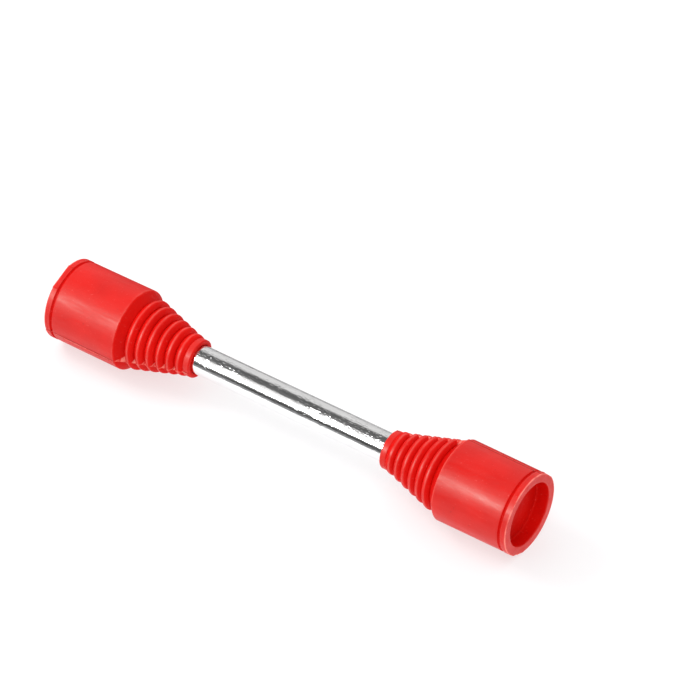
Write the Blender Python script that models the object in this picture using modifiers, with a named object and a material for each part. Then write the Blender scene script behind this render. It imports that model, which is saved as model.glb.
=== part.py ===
"""Double-ended link rod: a chrome tube with a flexible red rubber boot on each end.

Every round piece is turned about its own Z axis, which runs from the middle of the rod
out through the boot's mouth. Stations are distances along that axis from the rod's middle.
The rod lies along world X. Each boot is one moulding on the real object; here it is cut at
its groove bottoms into a neck, three bellows sections and a cup, so that it can flex.
"""

import math

import bpy

MM = 0.001

# Driving dimensions, in metres.
OVERALL_LENGTH = 290 * MM
TUBE_DIAMETER = 16 * MM
TUBE_WALL = 1.5 * MM
MOUTH_RADIUS = 22.5 * MM
SOCKET_RADIUS = 17.7 * MM
SOCKET_DEPTH = 7.5 * MM
RIM_BAND_LENGTH = 3.2 * MM
CUP_BODY_LENGTH = 41.3 * MM
SHOULDER_LENGTH = 4.5 * MM
BELLOWS_LENGTH = 32 * MM
COLLAR_LENGTH = 4 * MM
RING_COUNT = 6
GAP = 0.3 * MM

# Radii and depths of the boot.
BODY_FRONT_RADIUS = MOUTH_RADIUS - 0.15 * MM
BODY_REAR_RADIUS = MOUTH_RADIUS
RIM_GROOVE_DEPTH = 0.8 * MM
RIM_GROOVE_WIDTH = 1.6 * MM
RIM_GROOVE_SLOPE = 0.35 * MM
SHOULDER_EDGE = 0.4 * MM
MOUTH_OUTER_EDGE = 0.7 * MM
MOUTH_INNER_EDGE = 0.4 * MM
SOCKET_FILLET = 1 * MM
LARGEST_CREST = 19.5 * MM
SMALLEST_CREST = 11.7 * MM
RING_DEPTH = 2.4 * MM
RING_SQUARENESS = 0.62
COLLAR_RADIUS = 10.6 * MM
COLLAR_GROOVE_RADIUS = 10.3 * MM
COLLAR_EDGE = 0.8 * MM
BELLOWS_WALL = 1.6 * MM
CREST_WALL = 2.2 * MM
WEB_THICKNESS = 9 * MM
CAVITY_RADIUS = 17 * MM
CAVITY_FILLET = 2 * MM
PLUG_HEAD_THICKNESS = 1.2 * MM
PLUG_HEAD_EDGE = 0.5 * MM
PLUG_HEAD_INSET = 0.3 * MM
PLUG_SHANK_LENGTH = 12 * MM
PLUG_RIB_HEIGHT = 0.25 * MM
PLUG_RIB_SLOPE = 0.8 * MM
PLUG_RIB_PLACES = (0.3, 0.55, 0.8)

# Stations along the rod, from its middle outwards.
MOUTH = OVERALL_LENGTH / 2
SOCKET_FLOOR = MOUTH - SOCKET_DEPTH
RIM_BACK = MOUTH - RIM_BAND_LENGTH
CUP_BACK = RIM_BACK - CUP_BODY_LENGTH
BELLOWS_FRONT = CUP_BACK - SHOULDER_LENGTH
BELLOWS_BACK = BELLOWS_FRONT - BELLOWS_LENGTH
COLLAR_BACK = BELLOWS_BACK - COLLAR_LENGTH
RING_PITCH = BELLOWS_LENGTH / RING_COUNT

FACETS = 32
RING_STEPS = 6
CORNER_STEPS = 3
MERGE_DISTANCE = 0.00001

TUBE_RADIUS = TUBE_DIAMETER / 2
NECK_FRONT = BELLOWS_BACK + RING_PITCH
TUBE_HALF_LENGTH = NECK_FRONT - GAP

# Rings are numbered from the neck outwards. Each section is named with its first and last ring.
BELLOWS_SECTIONS = {"inner": (1, 2), "middle": (3, 4), "outer": (5, 5)}


def clear_scene():
    for item in list(bpy.data.objects):
        bpy.data.objects.remove(item, do_unlink=True)


def make_collection(name):
    collection = bpy.data.collections.new(name)
    bpy.context.scene.collection.children.link(collection)
    return collection


def make_material(name, color, roughness, metallic):
    material = bpy.data.materials.new(name)
    material.use_nodes = True
    shader = material.node_tree.nodes["Principled BSDF"]
    shader.inputs["Base Color"].default_value = (*color, 1)
    shader.inputs["Roughness"].default_value = roughness
    shader.inputs["Metallic"].default_value = metallic
    return material


def groove_radius(index):
    """Radius of the groove bottom behind ring `index`, 0 being the one next to the collar."""
    if index == 0:
        return COLLAR_GROOVE_RADIUS
    if index == RING_COUNT:
        return crest_radius(index - 1) - RING_DEPTH
    return (crest_radius(index - 1) + crest_radius(index)) / 2 - RING_DEPTH


def crest_radius(index):
    share = index / (RING_COUNT - 1)
    return SMALLEST_CREST + (LARGEST_CREST - SMALLEST_CREST) * share


def ring_outside(index):
    """Outer profile of one ring, from the groove behind it to the groove in front."""
    back, front = groove_radius(index), groove_radius(index + 1)
    crest = crest_radius(index)
    points = []
    for step in range(RING_STEPS + 1):
        share = step / RING_STEPS
        base = back + (front - back) * share
        swell = max(math.sin(math.pi * share), 0) ** RING_SQUARENESS
        station = BELLOWS_BACK + (index + share) * RING_PITCH
        points.append((base + (crest - base) * swell, station))
    return points


def ring_inside(index):
    """Inner profile of one ring, which follows the outside at the wall's thickness."""
    station = BELLOWS_BACK + index * RING_PITCH
    return [
        (groove_radius(index) - BELLOWS_WALL, station),
        (crest_radius(index) - CREST_WALL, station + RING_PITCH / 2),
        (groove_radius(index + 1) - BELLOWS_WALL, station + RING_PITCH),
    ]


def join_profiles(parts):
    """Parts end to end, with a point that two of them share kept once."""
    points = []
    for part in parts:
        for point in part:
            if not points or math.dist(point, points[-1]) > MERGE_DISTANCE:
                points.append(point)
    return points


def inset_ends(points, back, front):
    """Pulls the first and last stations in, which leaves the gap to the neighbouring pieces."""
    trimmed = list(points)
    trimmed[0] = (points[0][0], points[0][1] + back)
    trimmed[-1] = (points[-1][0], points[-1][1] - front)
    return trimmed


def rounded_corner(radius, station, size, start_degrees):
    """A quarter circle about (radius, station), swept by -90 degrees from the start angle."""
    points = []
    for step in range(CORNER_STEPS + 1):
        angle = math.radians(start_degrees - 90 * step / CORNER_STEPS)
        points.append((radius + size * math.cos(angle), station + size * math.sin(angle)))
    return points


def turned_piece(name, outline, closed, material, collection):
    """A solid of revolution. The outline runs down its outer side, from the mouth end."""
    edges = [(i, i + 1) for i in range(len(outline) - 1)]
    if closed:
        edges.append((len(outline) - 1, 0))
    mesh = bpy.data.meshes.new(name)
    mesh.from_pydata([(radius, 0, station) for radius, station in outline], edges, [])
    mesh.materials.append(material)
    piece = bpy.data.objects.new(name, mesh)
    collection.objects.link(piece)
    screw = piece.modifiers.new("Turned", "SCREW")
    screw.axis = "Z"
    screw.steps = FACETS
    screw.render_steps = FACETS
    screw.use_merge_vertices = True
    screw.merge_threshold = MERGE_DISTANCE
    screw.use_smooth_shade = True
    return piece


def tube_outline():
    bore = TUBE_RADIUS - TUBE_WALL
    end = TUBE_HALF_LENGTH
    return [(bore, end), (TUBE_RADIUS, end), (TUBE_RADIUS, -end), (bore, -end)]


def plug_outline():
    """Push-in plug: a thin head over the tube's end and a ribbed shank in its bore."""
    head_back = TUBE_HALF_LENGTH + GAP
    head_front = head_back + PLUG_HEAD_THICKNESS
    rib = TUBE_RADIUS - TUBE_WALL - GAP
    shank = rib - PLUG_RIB_HEIGHT
    shank_end = head_back - PLUG_SHANK_LENGTH
    head_radius = TUBE_RADIUS - PLUG_HEAD_INSET
    edge = PLUG_HEAD_EDGE
    head_edge = rounded_corner(head_radius - edge, head_front - edge, edge, 90)
    points = [(0, head_front)] + head_edge + [(head_radius, head_back), (shank, head_back)]
    for place in PLUG_RIB_PLACES:
        station = head_back - PLUG_SHANK_LENGTH * place
        points += [(shank, station + PLUG_RIB_SLOPE), (rib, station), (shank, station - PLUG_RIB_SLOPE)]
    return points + [(shank, shank_end), (0, shank_end)]


def neck_outline():
    """The collar and the ring next to it, which grip the tube's end."""
    bore = TUBE_RADIUS + GAP
    outside = [(COLLAR_RADIUS - COLLAR_EDGE, COLLAR_BACK), (COLLAR_RADIUS, COLLAR_BACK + COLLAR_EDGE)]
    outside += [(COLLAR_RADIUS, BELLOWS_BACK - GAP)]
    outside = inset_ends(join_profiles([outside, ring_outside(0)]), 0, GAP / 2)
    return [(bore, NECK_FRONT - GAP / 2)] + outside[::-1] + [(bore, COLLAR_BACK)]


def bellows_outline(first, last):
    rings = range(first, last + 1)
    outside = join_profiles([ring_outside(index) for index in rings])
    inside = join_profiles([ring_inside(index) for index in rings])
    outside = inset_ends(outside, GAP / 2, GAP / 2)
    inside = inset_ends(inside, GAP / 2, GAP / 2)
    return outside[::-1] + inside


def cup_outline():
    """The cup: a shallow socket at the mouth, a solid web, and the bellows' chamber behind it."""
    socket = [(0, SOCKET_FLOOR), (SOCKET_RADIUS - SOCKET_FILLET, SOCKET_FLOOR)]
    socket += [(SOCKET_RADIUS, SOCKET_FLOOR + SOCKET_FILLET), (SOCKET_RADIUS, MOUTH - MOUTH_INNER_EDGE)]
    edge = MOUTH_OUTER_EDGE
    mouth = [(SOCKET_RADIUS + MOUTH_INNER_EDGE, MOUTH)]
    mouth += rounded_corner(MOUTH_RADIUS - edge, MOUTH - edge, edge, 90)
    groove_back = RIM_BACK - RIM_GROOVE_WIDTH
    groove_bottom = MOUTH_RADIUS - RIM_GROOVE_DEPTH
    groove = [(MOUTH_RADIUS, RIM_BACK), (groove_bottom, RIM_BACK - RIM_GROOVE_SLOPE)]
    groove += [(groove_bottom, groove_back + RIM_GROOVE_SLOPE), (BODY_FRONT_RADIUS, groove_back)]
    rear_edge = BELLOWS_FRONT + GAP / 2
    web_back = SOCKET_FLOOR - WEB_THICKNESS
    rear_radius = groove_radius(RING_COUNT)
    rear = [(BODY_REAR_RADIUS, CUP_BACK + SHOULDER_EDGE), (BODY_REAR_RADIUS - SHOULDER_EDGE, CUP_BACK)]
    rear += [(rear_radius, rear_edge), (rear_radius - BELLOWS_WALL, rear_edge)]
    chamber = [(CAVITY_RADIUS, CUP_BACK), (CAVITY_RADIUS, web_back + CAVITY_FILLET)]
    chamber += [(CAVITY_RADIUS - CAVITY_FILLET, web_back), (0, web_back)]
    return socket + mouth + groove + rear + chamber


def section_middle(name):
    """Station halfway along a bellows section, where its joint sits."""
    first, last = BELLOWS_SECTIONS[name]
    return BELLOWS_BACK + RING_PITCH * (first + last + 1) / 2


def make_empty(name, station, parent_station, parent, collection):
    """An empty on the rod's axis that carries whatever moves with one joint."""
    empty = bpy.data.objects.new(name, None)
    empty.empty_display_size = 0.02
    empty.location = (0, 0, station - parent_station)
    empty.parent = parent
    collection.objects.link(empty)
    return empty


def seat(piece, parent, parent_station):
    """Puts a piece under its empty, with a flat facet turned to the ground."""
    piece.parent = parent
    piece.location = (0, 0, -parent_station)
    piece.rotation_euler = (0, 0, math.pi / FACETS)


def build_end(side, direction, rubber, plastic, collection):
    """One end of the rod. Direction is 1 towards +X and -1 towards -X."""
    end = make_empty(side + "_end", 0, 0, None, collection)
    end.rotation_euler = (0, direction * math.pi / 2, 0)
    sections = {}
    for name, (first, last) in BELLOWS_SECTIONS.items():
        outline = bellows_outline(first, last)
        sections[name] = turned_piece(f"{side}_bellows_{name}", outline, True, rubber, collection)
    swing, nod, squeeze = (section_middle(name) for name in ("inner", "middle", "outer"))
    swing_pivot = make_empty(side + "_swing_pivot", swing, 0, end, collection)
    nod_pivot = make_empty(side + "_nod_pivot", nod, swing, swing_pivot, collection)
    squeeze_slide = make_empty(side + "_squeeze_slide", squeeze, nod, nod_pivot, collection)
    seat(turned_piece(side + "_neck", neck_outline(), True, rubber, collection), end, 0)
    seat(turned_piece(side + "_tube_plug", plug_outline(), False, plastic, collection), end, 0)
    seat(sections["inner"], swing_pivot, swing)
    seat(sections["middle"], nod_pivot, nod)
    seat(sections["outer"], squeeze_slide, squeeze)
    cup = turned_piece(side + "_cup", cup_outline(), False, rubber, collection)
    seat(cup, squeeze_slide, squeeze)


def build():
    clear_scene()
    collection = make_collection("link_rod")
    rubber = make_material("red_rubber", (0.72, 0.018, 0.014), 0.42, 0)
    chrome = make_material("chrome", (0.82, 0.83, 0.84), 0.06, 1)
    plastic = make_material("plug_plastic", (0.03, 0.03, 0.032), 0.5, 0)
    tube = turned_piece("chrome_tube", tube_outline(), True, chrome, collection)
    tube.rotation_euler = (0, math.pi / 2, math.pi)
    build_end("right", 1, rubber, plastic, collection)
    build_end("left", -1, rubber, plastic, collection)


build()
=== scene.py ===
"""Looks for the double-ended link rod: a polished chrome tube with a red rubber boot on each end.

Stations are distances along the rod from its middle. Around the rod, angles are measured from
straight up towards -Y, in radians. Lengths are in metres.
"""

import math

import bpy
import numpy as np
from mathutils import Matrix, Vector


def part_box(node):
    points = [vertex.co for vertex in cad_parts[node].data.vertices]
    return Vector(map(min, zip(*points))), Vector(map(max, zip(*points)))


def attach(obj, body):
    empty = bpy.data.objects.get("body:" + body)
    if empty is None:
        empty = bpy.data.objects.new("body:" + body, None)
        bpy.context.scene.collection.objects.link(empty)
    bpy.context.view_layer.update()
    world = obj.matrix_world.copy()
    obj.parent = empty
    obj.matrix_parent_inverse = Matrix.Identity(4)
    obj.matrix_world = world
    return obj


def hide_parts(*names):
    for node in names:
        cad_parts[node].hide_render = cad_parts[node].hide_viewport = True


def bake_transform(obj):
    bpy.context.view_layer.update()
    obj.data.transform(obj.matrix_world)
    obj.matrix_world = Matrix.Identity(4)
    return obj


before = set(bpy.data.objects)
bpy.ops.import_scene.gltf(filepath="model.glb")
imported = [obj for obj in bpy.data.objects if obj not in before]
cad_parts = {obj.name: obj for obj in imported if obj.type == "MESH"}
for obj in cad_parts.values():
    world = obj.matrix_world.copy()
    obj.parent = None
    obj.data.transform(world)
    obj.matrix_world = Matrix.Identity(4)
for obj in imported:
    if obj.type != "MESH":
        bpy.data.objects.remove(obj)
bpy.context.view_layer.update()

MM = 0.001
SIDES = {"left": -1, "right": 1}

# The camera's place, as it would be said of a photograph: where it looks, and from where.
VIEW_AZIMUTH = math.radians(35.0)
VIEW_ELEVATION = math.radians(41.4)
VIEW_DISTANCE = 2.635
VIEW_CENTRE = (-0.0153, 0.0717)
LENS_MM = 257
SENSOR_MM = 36

# What is polished sees the white floor go dark in front of the rod and dim behind it, and dimmer
# still beside the part that the tube reflects. Places on the floor, then how dark each one is.
FLOOR_FRONT = -0.085
FLOOR_FRONT_EDGE = 0.002
FLOOR_FRONT_DARK = 0.97
FLOOR_BACK = 0.04
FLOOR_BACK_EDGE = 0.03
FLOOR_BACK_DARK = 0.6
TUBE_MIRROR_CENTRE = -0.045
TUBE_MIRROR_HALF = 0.07
TUBE_MIRROR_EDGE = 0.02
BESIDE_GAIN = 1.55
FLOOR_HALF_SIZE = 6.0
FLOOR_GAP = 0.0001
FLOOR_GLOW = 0.61
# How far below itself the floor looks for the dipped part of a bent boot, over which it turns
# clear. In front of the boot it stays nearly solid, so it still hides that part from low angles.
SUNK_REACH = 0.06

# The room that polished surfaces see, in turns about the rod from straight up towards -Y, in
# degrees, with the brightness at each, and how dark the room is towards +X.
ROOM_BANDS = [
    (-180, 0.9), (-92, 0.9), (-88, 0.55), (-82, 0.7), (-40, 0.76), (-31, 0.7), (-24, 0.16),
    (-10, 0.11), (12, 0.15), (23, 0.22), (27, 1.0), (66, 1.0), (70, 0.34), (79, 0.11),
    (87, 0.05), (96, 0.04), (100, 0.9), (180, 0.9),
]
ROOM_AHEAD = (0.03, 0.03, 0.03)
ROOM_AHEAD_SHARE = 0.55
# The light that matt surfaces see, at the horizon and overhead, on each side of the room.
LEFT_LIGHT = [(1.18, 1.18, 1.19), (1.12, 1.12, 1.13)]
RIGHT_LIGHT = [(0.76, 0.76, 0.78), (1.08, 1.08, 1.09)]

# Softboxes: name, place, size, watts, and whether it makes shine or soft light.
SOFTBOXES = [
    ("shine_softbox", (-0.75, -1.18, 0.83), (1.3, 0.45), 30, True),
    ("top_softbox", (-1.2, -0.2, 1.2), (0.7, 0.7), 15, False),
    ("front_softbox", (0.9, -1.4, 0.45), (0.6, 0.6), 4.2, False),
]

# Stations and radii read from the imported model.
CUP_LOW, CUP_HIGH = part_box("right_cup")
NECK_LOW, NECK_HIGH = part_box("right_neck")
TUBE_LOW, TUBE_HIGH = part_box("chrome_tube")
MOUTH = CUP_HIGH.x
COLLAR_BACK = NECK_LOW.x
BELLOWS_FRONT = (CUP_LOW.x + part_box("right_bellows_outer")[1].x) / 2
NECK_FRONT = (NECK_HIGH.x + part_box("right_bellows_inner")[0].x) / 2
MIDDLE_FRONT = (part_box("right_bellows_middle")[1].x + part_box("right_bellows_outer")[0].x) / 2
FACET_RADIUS = CUP_HIGH.z
MOUTH_RADIUS = round(FACET_RADIUS / math.cos(math.pi / 32) / MM, 1) * MM
TUBE_RADIUS = round(TUBE_HIGH.z / MM) * MM

# The moulding's finer sizes.
RING_COUNT = 6
RING_PITCH = BELLOWS_FRONT - MIDDLE_FRONT
BELLOWS_BACK = BELLOWS_FRONT - RING_COUNT * RING_PITCH
SMALLEST_CREST = 11.7 * MM
LARGEST_CREST = 19.5 * MM
RING_DEPTH = 2.4 * MM
LAST_GROOVE_DEPTH = 2.0 * MM
COLLAR_RADIUS = 10.6 * MM
COLLAR_GROOVE = 10.35 * MM
BELLOWS_WALL = 1.6 * MM
CREST_WALL = 2.2 * MM
SOCKET_RADIUS = 17.7 * MM
SOCKET_FLOOR = MOUTH - 7.5 * MM
RIM_BACK = MOUTH - 3.2 * MM
RIM_GROOVE_WIDTH = 1.6 * MM
RIM_GROOVE_DEPTH = 0.8 * MM
CUP_BACK = BELLOWS_FRONT + 4.5 * MM
WEB_BACK = SOCKET_FLOOR - 9 * MM
CAVITY_RADIUS = 17 * MM
BODY_FRONT_RADIUS = MOUTH_RADIUS - 0.15 * MM

# Where the two halves of each mould met.
PARTING_ANGLE = {"left": math.radians(107), "right": math.radians(-28)}
# Flats where flash was trimmed off the mouths: middle and half width in degrees, then how far the
# flat's ends still stand proud. The ends fall away over FLAT_END degrees.
TRIMMED_FLATS = {"left": [(19, 19, 0.45 * MM)], "right": [(-50, 11, 0.1 * MM), (154, 13, 0.25 * MM)]}
FLAT_END = 1.5
RIDGE_HEIGHT = 0.42 * MM
RIDGE_WIDTH = 0.24 * MM
PARTING_STEP = 0.12 * MM
STEP_WIDTH = 0.15 * MM
STEP_REACH = 5 * MM
# Painted shade: a dark line painted on each side of the parting ridge, off the bellows, with its offset,
# width and depth.
SHADE_LINE_OFFSET = 0.45 * MM
SHADE_LINE_WIDTH = 0.25 * MM
SHADE_LINE_DEPTH = 0.9
# How much lighter the ridge and the fin tops are painted, partly wear and partly painted highlight.
RIDGE_WEAR_AND_GLINT = 0.6
FIN_WEAR_AND_GLINT = 1.0
FIN_BELOW_CREST = 0.3 * MM
FIN_SLOPE = 1.8
WOBBLE = 0.05 * MM
WOBBLE_SEED = {"left": 3, "right": 4}

# Colours, linear.
BLACK = (0.0, 0.0, 0.0)
WHITE = (1.0, 1.0, 1.0)
RUBBER_RED = (0.625, 0.0040, 0.0024)
RUBBER_CLOUD = (0.69, 0.0054, 0.0032)
RUBBER_DUST = (0.86, 0.12, 0.10)
RUBBER_PIT = (0.42, 0.004, 0.004)
# Partly wear, partly painted highlight: the lighter red painted on edges, ring crests, parting ridges and
# fin tops.
RUBBER_WORN_AND_GLINT = (0.92, 0.21, 0.17)
# Painted shade: the dark red painted beside the parting ridges, on the cup's shoulder and on the socket's
# floor.
RUBBER_PAINTED_SHADE = (0.16, 0.001, 0.001)
RUBBER_SHEEN = (0.48, 0.95, 0.86, 1.0)
CHROME_CLEAN = (0.95, 0.95, 0.955)
CHROME_STAIN = (0.89, 0.89, 0.895)
CHROME_STREAK = (0.6, 0.6, 0.62)

# The rubber's finishes, from the polished skin to the dull hollows, with each one's specular level.
SKIN, SATIN, DULL = 0, 1, 2
SPECULAR_LEVELS = {"skin": 0.36, "satin": 0.18, "dull": 0.05}
CREST_SKIN = 0.5 * MM
CREST_SATIN = 0.9 * MM
# Painted shade: how much darker the cup's shoulder and the socket's floor are painted.
SHOULDER_PAINTED_SHADE = 0.13
SOCKET_PAINTED_SHADE = 0.17

COLUMNS = 180
RING_STEPS = 22


def smooth_step(value):
    clipped = np.clip(value, 0, 1)
    return clipped * clipped * (3 - 2 * clipped)


def crest_radius(index):
    share = index / (RING_COUNT - 1)
    return SMALLEST_CREST + (LARGEST_CREST - SMALLEST_CREST) * share


def groove_radius(index):
    """Radius of the groove bottom behind ring `index`, 0 being the ring next to the collar."""
    if index == 0:
        return COLLAR_GROOVE
    if index == RING_COUNT:
        return crest_radius(index - 1) - LAST_GROOVE_DEPTH
    return (crest_radius(index - 1) + crest_radius(index)) / 2 - RING_DEPTH


def arc(station, radius, size, start, end, steps=5):
    """Points on a circle about (station, radius), from the start angle to the end angle in degrees."""
    points = []
    for step in range(steps + 1):
        angle = math.radians(start + (end - start) * step / steps)
        points.append((station + size * math.cos(angle), radius + size * math.sin(angle)))
    return points


def ring_outside(index):
    """Outer profile of a ring: a round crest between two narrow grooves."""
    back, front, crest = groove_radius(index), groove_radius(index + 1), crest_radius(index)
    points = []
    for step in range(RING_STEPS + 1):
        share = 0.5 - 0.5 * math.cos(math.pi * step / RING_STEPS)
        base = back + (front - back) * share
        swell = max(math.sin(math.pi * share), 0) ** 0.68
        from_crest = abs(share - 0.5) * RING_PITCH
        finish = SKIN if from_crest < CREST_SKIN else SATIN if from_crest < CREST_SATIN else DULL
        station = BELLOWS_BACK + (index + share) * RING_PITCH
        points.append((station, base + (crest - base) * swell, finish, 1))
    return points


def ring_inside(index):
    """Inner profile of a ring, which follows the outside at the wall's thickness."""
    points = []
    for step in range(9):
        share = step / 8
        base = groove_radius(index) + (groove_radius(index + 1) - groove_radius(index)) * share
        crest = crest_radius(index) - CREST_WALL
        low = base - BELLOWS_WALL
        swell = math.sin(math.pi * share) ** 2
        points.append((BELLOWS_BACK + (index + share) * RING_PITCH, low + (crest - low) * swell))
    return points


def dressed(points, finish, marks):
    """Profile points with the rubber's finish there, and 1 where the mould left its marks or 0."""
    return [(station, radius, finish, marks) for station, radius in points]


def joined(*parts):
    """Parts end to end, with a point that two of them share kept once."""
    points = []
    for point in (point for part in parts for point in part):
        if not points or math.dist(point[:2], points[-1][:2]) > 1e-7:
            points.append(point)
    return points


def straight(start, end, steps):
    """Points from start to end, both included."""
    shares = [step / steps for step in range(steps + 1)]
    return [(start[0] + (end[0] - start[0]) * s, start[1] + (end[1] - start[1]) * s) for s in shares]


def neck_profile():
    """Collar and first ring: from the bore at the collar's end, over the outside, to the bore inside."""
    bore = TUBE_RADIUS + 0.06 * MM
    end = [(0.35, bore), (0, bore + 0.25 * MM), (0, 9.4 * MM), (0.1, 9.95 * MM), (0.3, 10.35 * MM)]
    end = [(COLLAR_BACK + depth * MM, radius) for depth, radius in end]
    wall = straight((COLLAR_BACK + 0.7 * MM, COLLAR_RADIUS), (BELLOWS_BACK - 0.8 * MM, COLLAR_RADIUS), 8)
    fillet = [(BELLOWS_BACK - 0.35 * MM, COLLAR_RADIUS - 0.06 * MM)]
    back_face = [(NECK_FRONT, groove_radius(1) - BELLOWS_WALL), (NECK_FRONT, bore)]
    bore_wall = straight((NECK_FRONT, bore), (COLLAR_BACK + 0.35 * MM, bore), 10)[:-1]
    outside = dressed(end[:2], DULL, 0) + dressed(end[2:], SATIN, 0) + dressed(wall + fillet, SKIN, 1)
    return joined(outside, ring_outside(0), dressed(back_face + bore_wall, DULL, 0))


def bellows_profile(first, last):
    """Rings first to last as one closed band."""
    outside = joined(*[ring_outside(index) for index in range(first, last + 1)])
    inside = joined(*[ring_inside(index) for index in range(first, last + 1)])
    return outside + dressed(inside[::-1], DULL, 0)


def chamber_profile():
    """The cup's rear chamber, from the middle of its floor out to the cut at the last groove."""
    corner = 2 * MM
    points = straight((WEB_BACK, 0), (WEB_BACK, CAVITY_RADIUS - corner), 8)
    points += arc(WEB_BACK - corner, CAVITY_RADIUS - corner, corner, 0, 90, 5)
    points += straight((WEB_BACK - corner, CAVITY_RADIUS), (CUP_BACK, CAVITY_RADIUS), 12)
    return points + [(BELLOWS_FRONT, groove_radius(RING_COUNT) - BELLOWS_WALL)]


def cup_profile():
    """The cup from the middle of the chamber's floor, over the outside, to the middle of the socket."""
    edge = 0.25 * MM
    corner = arc(CUP_BACK + edge, MOUTH_RADIUS - edge, edge, 140, 90, 4)
    shoulder = straight((BELLOWS_FRONT, groove_radius(RING_COUNT)), corner[0], 12)[:-1]
    groove_back = RIM_BACK - RIM_GROOVE_WIDTH
    groove_low = BODY_FRONT_RADIUS - RIM_GROOVE_DEPTH
    body_end = (groove_back - 0.3 * MM, BODY_FRONT_RADIUS)
    body = corner + straight((CUP_BACK + 0.5 * MM, MOUTH_RADIUS), body_end, 44)
    body += [(groove_back - 0.08 * MM, BODY_FRONT_RADIUS - 0.06 * MM)]
    groove = [(groove_back + 0.12 * MM, groove_low + 0.25 * MM), (groove_back + 0.35 * MM, groove_low)]
    groove += [(RIM_BACK - 0.35 * MM, groove_low), (RIM_BACK - 0.1 * MM, groove_low + 0.25 * MM)]
    band = arc(RIM_BACK + 0.25 * MM, MOUTH_RADIUS - 0.25 * MM, 0.25 * MM, 170, 90, 4)
    band += straight((RIM_BACK + 0.4 * MM, MOUTH_RADIUS), (MOUTH - 0.5 * MM, MOUTH_RADIUS), 10)
    outer, inner, fillet = 0.35 * MM, 0.3 * MM, 1.0 * MM
    band += arc(MOUTH - outer, MOUTH_RADIUS - outer, outer, 90, 0, 6)
    face = straight((MOUTH, MOUTH_RADIUS - outer), (MOUTH, SOCKET_RADIUS + inner), 8)
    face += arc(MOUTH - inner, SOCKET_RADIUS + inner, inner, 0, -90, 5)
    socket = straight((MOUTH - inner, SOCKET_RADIUS), (SOCKET_FLOOR + fillet, SOCKET_RADIUS), 8)
    socket += arc(SOCKET_FLOOR + fillet, SOCKET_RADIUS - fillet, fillet, 90, 180, 6)
    socket += straight((SOCKET_FLOOR, SOCKET_RADIUS - fillet), (SOCKET_FLOOR, 0), 14)
    outside = dressed(shoulder, DULL, 1) + dressed(body, SKIN, 1) + dressed(groove, DULL, 1)
    outside += dressed(band, SKIN, 1) + dressed(face, SKIN, 0)
    return joined(dressed(chamber_profile(), DULL, 0), outside, dressed(socket, DULL, 0))


def column_angles(side):
    """Angles around the rod: an even spread, with more where the parting ridge and the flats end."""
    angles = set(np.round(np.linspace(0, 2 * math.pi, COLUMNS, endpoint=False), 7))
    fine = np.array([-1.5, -1.2, -0.9, -0.65, -0.4, -0.22, -0.08, 0.08, 0.22, 0.4, 0.65, 0.9, 1.2, 1.5]) * MM
    for turn in (0, math.pi):
        centre = PARTING_ANGLE[side] + turn
        for radius in (12 * MM, 22 * MM):
            for offset in fine:
                angles.add(round((centre + offset / radius) % (2 * math.pi), 7))
    for middle, half_width, _ in TRIMMED_FLATS[side]:
        for offset in (half_width - 0.3, half_width, half_width + 0.5 * FLAT_END, half_width + FLAT_END):
            for degrees in (middle - offset, middle + offset):
                angles.add(round(math.radians(degrees) % (2 * math.pi), 7))
    ordered = sorted(angles)
    kept = [ordered[0]]
    for angle in ordered[1:]:
        if angle - kept[-1] > 0.002:
            kept.append(angle)
    return np.array(kept)


def arc_distance(angles, centre):
    return (angles - centre + math.pi) % (2 * math.pi) - math.pi


def crest_envelope(stations):
    """The line over the ring crests, level with the collar and the cup body beyond them."""
    first = BELLOWS_BACK + RING_PITCH / 2
    last = BELLOWS_BACK + RING_PITCH * (RING_COUNT - 0.5)
    points = [COLLAR_BACK, first, last, CUP_BACK, MOUTH]
    levels = [10.8 * MM, SMALLEST_CREST, LARGEST_CREST, MOUTH_RADIUS, MOUTH_RADIUS]
    return np.interp(stations, points, levels)


def slow_wave(angles, stations, seed):
    """A smooth, slightly uneven field between -1 and 1, for wobble in the rubber."""
    rng = np.random.default_rng(seed)
    total = np.zeros(np.broadcast(angles, stations).shape)
    for _ in range(7):
        around = rng.integers(1, 6)
        along = rng.uniform(20, 170)
        phase = rng.uniform(0, 2 * math.pi, 2)
        total = total + np.sin(around * angles + phase[0]) * np.sin(along * stations + phase[1])
    return total / 4


def flat_factor(angles, side):
    """How much the trimmed flats pull in or push out the mouth's rim, 1 where there is none."""
    factor = np.ones(np.shape(angles))
    for middle, half_width, proud in TRIMMED_FLATS[side]:
        away = np.abs(arc_distance(angles, math.radians(middle)))
        half, end = math.radians(half_width), math.radians(FLAT_END)
        tip = 1 + proud / MOUTH_RADIUS
        flat = tip * math.cos(half) / np.cos(np.minimum(away, half))
        beyond = tip + (1 - tip) * np.clip((away - half) / end, 0, 1)
        factor = np.where(away < half + end, np.where(away < half, flat, beyond), factor)
    return factor


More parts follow.
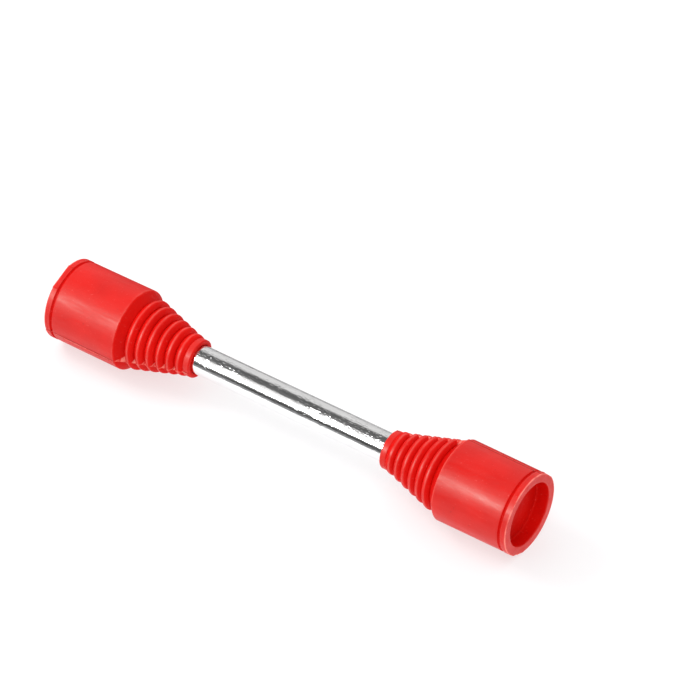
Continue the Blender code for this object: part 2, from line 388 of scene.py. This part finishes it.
def add_parting_line(surface, wear_and_painted_light, s, distance, marks, turn):
    """One line where the mould's halves met: a ridge, a step, a dark line of painted shade on each side, and
    a thin fin of flash across the ring grooves; the ridge and fin tops are painted lighter, partly wear and
    partly painted highlight. `distance` is measured around the surface from the line."""
    in_bellows = marks * (s > BELLOWS_BACK - 1 * MM) * (s < CUP_BACK)
    fin_top = crest_envelope(s) - FIN_BELOW_CREST
    ridge = np.exp(-((distance / RIDGE_WIDTH) ** 2)) * marks
    uneven = 0.75 + 0.35 * np.sin(310 * s + turn) * np.sin(97 * s + 1)
    step = np.tanh(distance / STEP_WIDTH) * np.exp(-((distance / STEP_REACH) ** 2)) * marks
    fin = np.where(in_bellows > 0, fin_top - np.abs(distance) * FIN_SLOPE, 0)
    surface = surface + ridge * RIDGE_HEIGHT * uneven + step * PARTING_STEP
    # Painted shade: a dark line painted on each side of the ridge, except on the bellows.
    shade_line = np.exp(-(((np.abs(distance) - SHADE_LINE_OFFSET) / SHADE_LINE_WIDTH) ** 2)) * marks
    wear_and_painted_light = wear_and_painted_light - shade_line * np.where(in_bellows > 0, 0, SHADE_LINE_DEPTH)
    # The fin tops and the ridge are painted lighter, partly wear and partly painted highlight.
    wear_and_glint = np.where(fin > surface, FIN_WEAR_AND_GLINT, ridge * RIDGE_WEAR_AND_GLINT)
    wear_and_painted_light = np.where(wear_and_glint > 0.1, np.maximum(wear_and_painted_light, wear_and_glint), wear_and_painted_light)
    return np.maximum(surface, fin), wear_and_painted_light


def moulded_surface(stations, radii, marks, angles, side):
    """Radius, and wear with painted highlight and painted shade, at each profile point and angle, with the
    marks that the mould left.
    """
    s, r, a, marks = stations[:, None], radii[:, None], angles[None, :], marks[:, None]
    surface = r + slow_wave(a, s, WOBBLE_SEED[side]) * WOBBLE * marks
    wear_and_painted_light = wear_and_painted_light_along(stations, radii)[:, None] * np.ones_like(surface)
    for turn in (0, math.pi):
        distance = arc_distance(a, PARTING_ANGLE[side] + turn) * np.maximum(r, 5 * MM)
        surface, wear_and_painted_light = add_parting_line(surface, wear_and_painted_light, s, distance, marks, turn)
    on_rim = smooth_step((s - RIM_BACK - 0.1 * MM) / (0.4 * MM))
    on_rim = on_rim * np.clip((r - SOCKET_RADIUS - 0.8 * MM) / (3.4 * MM), 0, 1)
    return surface * (1 + (flat_factor(a, side) - 1) * on_rim), wear_and_painted_light


def wear_and_painted_light_along(stations, radii):
    """How much each profile point is painted lighter, partly for wear and partly as painted highlight: most
    on the mouth's outer edge, then the other edges and the ring crests. It is below 0 where painted shade
    darkens the cup's shoulder and the socket's floor."""
    wear_and_painted_light = np.zeros(len(stations))
    # The rim band, the mouth face and the collar are painted a little lighter, partly wear and partly
    # painted highlight.
    wear_and_painted_light[(stations > RIM_BACK) & (radii > MOUTH_RADIUS - 0.1 * MM)] = 0.02
    wear_and_painted_light[(stations > MOUTH - 0.01 * MM) & (radii > SOCKET_RADIUS)] = 0.06
    wear_and_painted_light[(stations < BELLOWS_BACK) & (radii > COLLAR_RADIUS - 0.1 * MM)] = 0.04
    # Lighter lines painted along edges and ring crests, partly wear and partly painted highlight.
    places = [(MOUTH - 0.1 * MM, MOUTH_RADIUS - 0.1 * MM, 2.2, 0.33), (MOUTH, SOCKET_RADIUS, 0.2, 0.5)]
    places += [(CUP_BACK, MOUTH_RADIUS, 0.4, 0.4), (RIM_BACK, MOUTH_RADIUS, 0.15, 0.4)]
    for index in range(RING_COUNT):
        places.append((BELLOWS_BACK + (index + 0.5) * RING_PITCH, crest_radius(index), 0.25, 0.6))
    for station, radius, amount, reach in places:
        distance = np.hypot(stations - station, radii - radius)
        wear_and_painted_light = np.maximum(wear_and_painted_light, amount * np.exp(-((distance / (reach * MM)) ** 2)))
    # Painted shade on the cup's shoulder and on the socket's floor.
    on_shoulder = (stations > BELLOWS_FRONT) & (stations < CUP_BACK) & (radii < MOUTH_RADIUS - 0.5 * MM)
    on_shoulder &= radii > groove_radius(RING_COUNT)
    on_socket_floor = (stations > SOCKET_FLOOR - 0.1 * MM) & (radii < SOCKET_RADIUS - 0.4 * MM)
    return wear_and_painted_light - SHOULDER_PAINTED_SHADE * on_shoulder - SOCKET_PAINTED_SHADE * on_socket_floor


def turned_mesh(name, profile, direction, angles, surface, wear_and_painted_light):
    """A solid of revolution about the rod. Profile points on the axis become single poles."""
    stations = np.array([point[0] for point in profile])
    radii = np.array([point[1] for point in profile])
    count = len(angles)
    points, rows, marks = [], [], []
    for index, station in enumerate(stations):
        if radii[index] < 1e-8:
            rows.append([len(points)] * count)
            points.append((direction * station, 0, 0))
            marks.append(wear_and_painted_light[index, 0])
            continue
        rows.append(list(range(len(points), len(points) + count)))
        for column, angle in enumerate(angles):
            radius = surface[index, column]
            points.append((direction * station, -radius * math.sin(angle), radius * math.cos(angle)))
            marks.append(wear_and_painted_light[index, column])
    closed = radii[0] > 1e-8
    faces = []
    for index in range(len(rows) if closed else len(rows) - 1):
        low, high = rows[index], rows[(index + 1) % len(rows)]
        for column in range(count):
            after = (column + 1) % count
            corners = [low[column], low[after], high[after], high[column]]
            face = [corner for place, corner in enumerate(corners) if corner != corners[place - 1]]
            faces.append(face if direction > 0 else face[::-1])
    mesh = bpy.data.meshes.new(name)
    mesh.from_pydata(points, [], faces)
    # Per-point values of painted lightening, partly wear and partly painted highlight, with painted shade
    # below 0.
    mesh.attributes.new("wear_and_painted_light", "FLOAT", "POINT").data.foreach_set("value", np.array(marks, np.float32))
    place = mesh.attributes.new("place", "FLOAT_VECTOR", "POINT")
    place.data.foreach_set("vector", np.array(points, np.float32).ravel())
    mesh.shade_smooth()
    mesh.set_sharp_from_angle(angle=math.radians(50))
    piece = bpy.data.objects.new(name, mesh)
    bpy.context.scene.collection.objects.link(piece)
    return piece


def moulding(name, profile, side, materials):
    """One stretch of a rubber boot, each band of faces in the duller finish of its two edges."""
    stations = np.array([point[0] for point in profile])
    radii = np.array([point[1] for point in profile])
    finishes = np.array([point[2] for point in profile])
    marks = np.array([point[3] for point in profile], float)
    angles = column_angles(side)
    surface, wear_and_painted_light = moulded_surface(stations, radii, marks, angles, side)
    piece = turned_mesh(name, profile, SIDES[side], angles, surface, wear_and_painted_light)
    for material in materials:
        piece.data.materials.append(material)
    bands = np.repeat(np.maximum(finishes, np.roll(finishes, -1)), len(angles))
    polygons = piece.data.polygons
    polygons.foreach_set("material_index", bands[: len(polygons)].astype(np.int32))
    return piece


def plain_turning(name, profile, direction, material):
    """A turned piece with no marks on it."""
    angles = np.linspace(0, 2 * math.pi, COLUMNS, endpoint=False)
    radii = np.array([point[1] for point in profile])
    surface = np.repeat(radii[:, None], COLUMNS, axis=1)
    piece = turned_mesh(name, profile, direction, angles, surface, np.zeros_like(surface))
    piece.data.materials.append(material)
    return piece


# ---------------------------------------------------------------- materials


def new_material(name):
    material = bpy.data.materials.new(name)
    material.use_nodes = True
    nodes = material.node_tree.nodes
    return material, nodes, material.node_tree.links, nodes["Principled BSDF"]


def add_node(nodes, kind, **inputs):
    """A node with the named inputs set; a name with underscores stands for one with spaces."""
    node = nodes.new(kind)
    for key, value in inputs.items():
        node.inputs[key.replace("_", " ")].default_value = value
    return node


def place_vector(nodes, links, scale):
    """The point's own place on the moulding, stretched by a scale for each axis."""
    source = nodes.new("ShaderNodeAttribute")
    source.attribute_name = "place"
    mapping = nodes.new("ShaderNodeMapping")
    mapping.inputs["Scale"].default_value = scale
    links.new(source.outputs["Vector"], mapping.inputs["Vector"])
    return mapping.outputs["Vector"]


def place_axis(nodes, links, axis):
    """One coordinate of the point's own place, in metres."""
    split = nodes.new("ShaderNodeSeparateXYZ")
    links.new(place_vector(nodes, links, (1, 1, 1)), split.inputs["Vector"])
    return split.outputs[axis]


def noise_value(nodes, links, scale, detail, roughness=0.5):
    node = add_node(nodes, "ShaderNodeTexNoise", Scale=1.0, Detail=detail, Roughness=roughness)
    links.new(place_vector(nodes, links, scale), node.inputs["Vector"])
    return node.outputs["Fac"]


def remap(nodes, links, value, low, high, to_low, to_high):
    node = nodes.new("ShaderNodeMapRange")
    node.inputs["From Min"].default_value = low
    node.inputs["From Max"].default_value = high
    node.inputs["To Min"].default_value = to_low
    node.inputs["To Max"].default_value = to_high
    links.new(value, node.inputs["Value"])
    return node.outputs["Result"]


def math_of(nodes, links, operation, first, second):
    node = nodes.new("ShaderNodeMath")
    node.operation = operation
    for slot, value in enumerate((first, second)):
        if isinstance(value, (int, float)):
            node.inputs[slot].default_value = value
        else:
            links.new(value, node.inputs[slot])
    return node.outputs["Value"]


def mixed_color(nodes, links, factor, first, second):
    """A colour between two; each is an (r, g, b) triple or another node's output."""
    node = nodes.new("ShaderNodeMix")
    node.data_type = "RGBA"
    links.new(factor, node.inputs["Factor"])
    for slot, value in (("A", first), ("B", second)):
        socket = next(i for i in node.inputs if i.name == slot and i.type == "RGBA")
        if isinstance(value, tuple):
            socket.default_value = (*value, 1)
        else:
            links.new(value, socket)
    return next(o for o in node.outputs if o.type == "RGBA")


def add_bump(nodes, links, height, distance, strength, before=None):
    node = nodes.new("ShaderNodeBump")
    node.inputs["Distance"].default_value = distance
    node.inputs["Strength"].default_value = strength
    links.new(height, node.inputs["Height"])
    if before is not None:
        links.new(before, node.inputs["Normal"])
    return node.outputs["Normal"]


def rubber_material(name, specular):
    """Soft red rubber: faint clouding, specks, lighter edges that are partly wear and partly painted
    highlight, dark painted shade beside the parting ridges and on the shoulder and socket floor, and
    moulding lines.
    """
    material, nodes, links, shader = new_material(name)
    cloud = remap(nodes, links, noise_value(nodes, links, (55, 55, 55), 3), 0.35, 0.65, 0, 1)
    color = mixed_color(nodes, links, cloud, RUBBER_RED, RUBBER_CLOUD)
    grain = noise_value(nodes, links, (900, 900, 900), 2)
    dust = remap(nodes, links, grain, 0.66, 0.73, 0, 0.3)
    color = mixed_color(nodes, links, dust, color, RUBBER_DUST)
    pits = remap(nodes, links, noise_value(nodes, links, (620, 700, 700), 1), 0.27, 0.23, 0, 0.4)
    color = mixed_color(nodes, links, pits, color, RUBBER_PIT)
    # Lighter edges painted from the mesh attribute, partly wear and partly painted highlight.
    wear_and_light_node = nodes.new("ShaderNodeAttribute")
    wear_and_light_node.attribute_name = "wear_and_painted_light"
    patchy = remap(nodes, links, noise_value(nodes, links, (650, 140, 140), 4, 0.6), 0.36, 0.62, 0.1, 1)
    wear_and_glint = math_of(nodes, links, "MULTIPLY", wear_and_light_node.outputs["Fac"], patchy)
    color = mixed_color(nodes, links, wear_and_glint, color, RUBBER_WORN_AND_GLINT)
    # Painted shade: where the attribute is below 0, the red is painted darker.
    painted_shade = remap(nodes, links, wear_and_light_node.outputs["Fac"], -0.05, -0.7, 0, 0.85)
    color = mixed_color(nodes, links, painted_shade, color, RUBBER_PAINTED_SHADE)
    links.new(color, shader.inputs["Base Color"])
    scuff = noise_value(nodes, links, (38, 240, 240), 5, 0.7)
    roughness = remap(nodes, links, scuff, 0.32, 0.68, 0.28, 0.54)
    matter = remap(nodes, links, place_axis(nodes, links, "X"), -0.05, 0.05, 0.06, 0)
    roughness = math_of(nodes, links, "ADD", roughness, matter)
    links.new(roughness, shader.inputs["Roughness"])
    skin = noise_value(nodes, links, (1700, 1700, 1700), 3)
    lines = noise_value(nodes, links, (800, 4, 4), 2)
    normal = add_bump(nodes, links, skin, 0.00003, 0.5)
    normal = add_bump(nodes, links, lines, 0.00003, 0.25, normal)
    waves = noise_value(nodes, links, (90, 170, 170), 3)
    normal = add_bump(nodes, links, waves, 0.0004, 0.3, normal)
    dents = noise_value(nodes, links, (28, 60, 60), 2)
    normal = add_bump(nodes, links, dents, 0.002, 0.25, normal)
    links.new(normal, shader.inputs["Normal"])
    shader.inputs["IOR"].default_value = 1.5
    shader.inputs["Specular IOR Level"].default_value = specular
    shader.inputs["Specular Tint"].default_value = RUBBER_SHEEN
    shader.inputs["Subsurface Weight"].default_value = 0.25
    shader.inputs["Subsurface Radius"].default_value = (0.002, 0.0004, 0.0003)
    shader.inputs["Subsurface Scale"].default_value = 1.0
    return material


def chrome_material():
    """Bright chrome plate: streaks and drawing lines along the tube, and chatter and small dents, most
    of them on its upper side."""
    material, nodes, links, shader = new_material("chrome_look")
    stain = remap(nodes, links, noise_value(nodes, links, (40, 160, 160), 4), 0.4, 0.7, 0, 1)
    color = mixed_color(nodes, links, stain, CHROME_CLEAN, CHROME_STAIN)
    streaks = noise_value(nodes, links, (110, 1500, 1500), 3, 0.6)
    streaks = remap(nodes, links, streaks, 0.5, 0.7, 0, 0.25)
    color = mixed_color(nodes, links, streaks, color, CHROME_STREAK)
    links.new(color, shader.inputs["Base Color"])
    wiped = noise_value(nodes, links, (60, 900, 900), 4, 0.6)
    links.new(remap(nodes, links, wiped, 0.35, 0.75, 0.02, 0.08), shader.inputs["Roughness"])
    pits = nodes.new("ShaderNodeTexVoronoi")
    pits.feature = "F1"
    pits.inputs["Scale"].default_value = 1.0
    links.new(place_vector(nodes, links, (230, 420, 420)), pits.inputs["Vector"])
    few = remap(nodes, links, noise_value(nodes, links, (120, 120, 120), 2), 0.5, 0.6, 0, 1)
    hollow = remap(nodes, links, pits.outputs["Distance"], 0.05, 0.3, 1, 0)
    hollow = math_of(nodes, links, "MULTIPLY", hollow, few)
    nicked = noise_value(nodes, links, (420, 1300, 1300), 2)
    nicked = remap(nodes, links, nicked, 0.54, 0.7, 0, 0.55)
    patches = remap(nodes, links, noise_value(nodes, links, (45, 90, 90), 2), 0.38, 0.54, 0, 1)
    nicked = math_of(nodes, links, "MULTIPLY", nicked, patches)
    hollow = math_of(nodes, links, "ADD", hollow, nicked)
    on_top = remap(nodes, links, place_axis(nodes, links, "Z"), 0.0055, 0.0068, 0.3, 1)
    hollow = math_of(nodes, links, "MULTIPLY", hollow, on_top)
    normal = add_bump(nodes, links, hollow, -0.00012, 0.9)
    drawn = noise_value(nodes, links, (30, 900, 900), 3, 0.55)
    normal = add_bump(nodes, links, drawn, 0.00006, 0.7, normal)
    chatter = noise_value(nodes, links, (240, 1000, 1000), 3, 0.6)
    chatter = math_of(nodes, links, "MULTIPLY", chatter, on_top)
    normal = add_bump(nodes, links, chatter, 0.00009, 0.8, normal)
    swell = noise_value(nodes, links, (38, 90, 90), 2)
    normal = add_bump(nodes, links, swell, 0.0004, 0.25, normal)
    links.new(normal, shader.inputs["Normal"])
    shader.inputs["Metallic"].default_value = 1.0
    return material


def plug_material():
    """Black nylon with a fine moulded grain."""
    material, nodes, links, shader = new_material("plug_look")
    cloud = noise_value(nodes, links, (300, 300, 300), 3)
    color = mixed_color(nodes, links, cloud, (0.018, 0.018, 0.02), (0.045, 0.045, 0.048))
    links.new(color, shader.inputs["Base Color"])
    grain = noise_value(nodes, links, (2200, 2200, 2200), 2)
    links.new(remap(nodes, links, grain, 0.3, 0.7, 0.42, 0.6), shader.inputs["Roughness"])
    links.new(add_bump(nodes, links, grain, 0.00002, 0.4), shader.inputs["Normal"])
    return material


def floor_material():
    """White card that glows a little, that polished surfaces see go dark, and that turns clear right
    above what dips below it."""
    material, nodes, links, shader = new_material("studio_floor")
    source = nodes.new("ShaderNodeTexCoord")
    noise = add_node(nodes, "ShaderNodeTexNoise", Scale=3.0, Detail=3.0)
    links.new(source.outputs["Object"], noise.inputs["Vector"])
    color = mixed_color(nodes, links, noise.outputs["Fac"], (0.36, 0.36, 0.36), (0.39, 0.39, 0.39))
    split = nodes.new("ShaderNodeSeparateXYZ")
    links.new(source.outputs["Object"], split.inputs["Vector"])
    path = nodes.new("ShaderNodeLightPath")
    depth = split.outputs["Y"]
    front = remap(nodes, links, depth, FLOOR_FRONT - FLOOR_FRONT_EDGE, FLOOR_FRONT, FLOOR_FRONT_DARK, 0)
    back = remap(nodes, links, depth, FLOOR_BACK, FLOOR_BACK + FLOOR_BACK_EDGE, 0, FLOOR_BACK_DARK)
    aside = math_of(nodes, links, "SUBTRACT", split.outputs["X"], TUBE_MIRROR_CENTRE)
    aside = math_of(nodes, links, "ABSOLUTE", aside, 0.0)
    beside_end = TUBE_MIRROR_HALF + TUBE_MIRROR_EDGE
    beside = remap(nodes, links, aside, TUBE_MIRROR_HALF, beside_end, 1.0, BESIDE_GAIN)
    back = math_of(nodes, links, "MULTIPLY", back, beside)
    dark = math_of(nodes, links, "ADD", front, back)
    dark = math_of(nodes, links, "MULTIPLY", dark, path.outputs["Is Glossy Ray"])
    color = mixed_color(nodes, links, dark, color, BLACK)
    glow = mixed_color(nodes, links, dark, (1.0, 0.995, 1.0), BLACK)
    links.new(color, shader.inputs["Base Color"])
    links.new(glow, shader.inputs["Emission Color"])
    shader.inputs["Emission Strength"].default_value = FLOOR_GLOW
    shader.inputs["Roughness"].default_value = 0.55
    shader.inputs["Specular IOR Level"].default_value = 0.1
    below = nodes.new("ShaderNodeAmbientOcclusion")
    below.inside = True
    below.samples = 6
    below.inputs["Distance"].default_value = SUNK_REACH
    sunk = remap(nodes, links, below.outputs["AO"], 0.99, 0.9, 0, 1)
    window = nodes.new("ShaderNodeMixShader")
    links.new(sunk, window.inputs["Fac"])
    links.new(shader.outputs["BSDF"], window.inputs[1])
    links.new(nodes.new("ShaderNodeBsdfTransparent").outputs["BSDF"], window.inputs[2])
    links.new(window.outputs["Shader"], nodes["Material Output"].inputs["Surface"])
    return material


# ---------------------------------------------------------------- pieces


def build_tube(material):
    half = TUBE_HIGH.x
    bore = TUBE_RADIUS - 1.5 * MM
    edge = 0.3 * MM
    outside = arc(-half + edge, TUBE_RADIUS - edge, edge, 180, 90, 3)
    outside += straight((-half + edge, TUBE_RADIUS), (half - edge, TUBE_RADIUS), 60)
    outside += arc(half - edge, TUBE_RADIUS - edge, edge, 90, 0, 3)
    inside = straight((half, bore), (-half, bore), 20)
    tube = plain_turning("polished_tube", joined(outside, inside), 1, material)
    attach(tube, "rod")
    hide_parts("chrome_tube")


def build_plug(side, material):
    """The push-in plug: a thin domed head and a ribbed shank in the tube's bore."""
    low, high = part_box("right_tube_plug")
    head_back = TUBE_HIGH.x + 0.05 * MM
    bore = TUBE_RADIUS - 1.55 * MM
    shank = bore - 0.5 * MM
    points = [(high.x, 0), (high.x - 0.05 * MM, 3 * MM), (high.x - 0.2 * MM, 6 * MM)]
    points += arc(high.x - 0.7 * MM, TUBE_RADIUS - 0.7 * MM, 0.5 * MM, 80, 10, 4)
    points += [(head_back, TUBE_RADIUS - 0.3 * MM), (head_back, shank)]
    length = head_back - low.x
    for centre in (0.3, 0.55, 0.8):
        station = head_back - length * centre
        points += [(station + 0.8 * MM, shank), (station + 0.1 * MM, bore)]
        points += [(station - 0.1 * MM, bore), (station - 0.8 * MM, shank)]
    points += [(low.x, shank), (low.x, 0)]
    plug = plain_turning(side + "_plug_insert", points[::-1], SIDES[side], material)
    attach(plug, "rod")
    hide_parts(side + "_tube_plug")


def build_boot(side, material):
    """Neck, three bellows stretches and cup."""
    neck = moulding(side + "_neck_moulding", neck_profile(), side, material)
    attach(neck, "rod")
    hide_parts(side + "_neck")
    cup = moulding(side + "_cup_moulding", cup_profile(), side, material)
    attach(cup, side + "_boot_cup")
    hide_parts(side + "_cup")
    rings = {"inner": (1, 2), "middle": (3, 4), "outer": (5, 5)}
    for number, (part, (first, last)) in enumerate(rings.items()):
        name = f"{side}_bellows_{part}"
        band = moulding(name + "_moulding", bellows_profile(first, last), side, material)
        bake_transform(band)
        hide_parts(name)


# ---------------------------------------------------------------- stage, light and camera


def build_floor(level):
    mesh = bpy.data.meshes.new("studio_floor")
    size = FLOOR_HALF_SIZE
    corners = [(-size, -size, level), (size, -size, level), (size, size, level), (-size, size, level)]
    mesh.from_pydata(corners, [], [(0, 1, 2, 3)])
    mesh.materials.append(floor_material())
    floor = bpy.data.objects.new("studio_floor", mesh)
    bpy.context.scene.collection.objects.link(floor)


def build_world():
    """A pale room: light all round for matt surfaces, and darker walls for what is polished."""
    world = bpy.data.worlds.new("studio")
    bpy.context.scene.world = world
    world.use_nodes = True
    nodes, links = world.node_tree.nodes, world.node_tree.links
    background = nodes["Background"]
    source = nodes.new("ShaderNodeTexCoord")
    split = nodes.new("ShaderNodeSeparateXYZ")
    links.new(source.outputs["Generated"], split.inputs["Vector"])
    towards_front = math_of(nodes, links, "MULTIPLY", split.outputs["Y"], -1.0)
    turn = math_of(nodes, links, "ARCTAN2", towards_front, split.outputs["Z"])
    share = remap(nodes, links, turn, -math.pi, math.pi, 0, 1)
    bands = nodes.new("ShaderNodeValToRGB")
    bands.color_ramp.interpolation = "LINEAR"
    elements = bands.color_ramp.elements
    while len(elements) < len(ROOM_BANDS):
        elements.new(0.5)
    for element, (degrees, level) in zip(elements, ROOM_BANDS):
        element.position = (degrees + 180) / 360
        element.color = (level, level * 0.99, level * 0.98, 1)
    links.new(share, bands.inputs["Fac"])
    path = nodes.new("ShaderNodeLightPath")
    ahead = remap(nodes, links, split.outputs["X"], -0.2, 0.4, 0, ROOM_AHEAD_SHARE)
    reflected = mixed_color(nodes, links, ahead, bands.outputs["Color"], ROOM_AHEAD)
    height = remap(nodes, links, split.outputs["Z"], 0, 1, 0, 1)
    rightward = remap(nodes, links, split.outputs["X"], -0.7, 0.7, 0, 1)
    left_half = mixed_color(nodes, links, height, *LEFT_LIGHT)
    right_half = mixed_color(nodes, links, height, *RIGHT_LIGHT)
    even = mixed_color(nodes, links, rightward, left_half, right_half)
    seen = mixed_color(nodes, links, path.outputs["Is Glossy Ray"], BLACK, reflected)
    seen = mixed_color(nodes, links, path.outputs["Is Diffuse Ray"], seen, even)
    seen = mixed_color(nodes, links, path.outputs["Is Camera Ray"], seen, WHITE)
    links.new(seen, background.inputs["Color"])
    background.inputs["Strength"].default_value = 1.0


def build_softbox(name, place, size, power, glossy):
    """A softbox with its length along the rod, turned to face it, for shine or for soft light."""
    lamp = bpy.data.lights.new(name, "AREA")
    lamp.shape = "RECTANGLE"
    lamp.size, lamp.size_y = size
    lamp.energy = power
    holder = bpy.data.objects.new(name, lamp)
    holder.location = place
    holder.rotation_euler = (math.atan2(-place[1], place[2]), 0, 0)
    holder.visible_glossy = glossy
    holder.visible_diffuse = not glossy
    bpy.context.scene.collection.objects.link(holder)


def build_camera(floor_level):
    lens = bpy.data.cameras.new("camera")
    lens.lens = LENS_MM
    lens.sensor_width = SENSOR_MM
    lens.clip_end = 100
    camera = bpy.data.objects.new("camera", lens)
    centre = Vector((*VIEW_CENTRE, floor_level))
    flat = VIEW_DISTANCE * math.cos(VIEW_ELEVATION)
    height = VIEW_DISTANCE * math.sin(VIEW_ELEVATION)
    offset = Vector((flat * math.sin(VIEW_AZIMUTH), -flat * math.cos(VIEW_AZIMUTH), height))
    camera.location = centre + offset
    camera.rotation_euler = (-offset).to_track_quat("-Z", "Y").to_euler()
    bpy.context.scene.collection.objects.link(camera)
    bpy.context.scene.camera = camera


FLOOR_LEVEL = -MOUTH_RADIUS - FLOOR_GAP

rubber = [rubber_material("red_rubber_" + name, level) for name, level in SPECULAR_LEVELS.items()]
plastic = plug_material()
build_tube(chrome_material())
for side_name in SIDES:
    build_boot(side_name, rubber)
    build_plug(side_name, plastic)
build_floor(FLOOR_LEVEL)
build_world()
for softbox in SOFTBOXES:
    build_softbox(*softbox)
build_camera(FLOOR_LEVEL)
bpy.context.scene.view_settings.view_transform = "Standard"
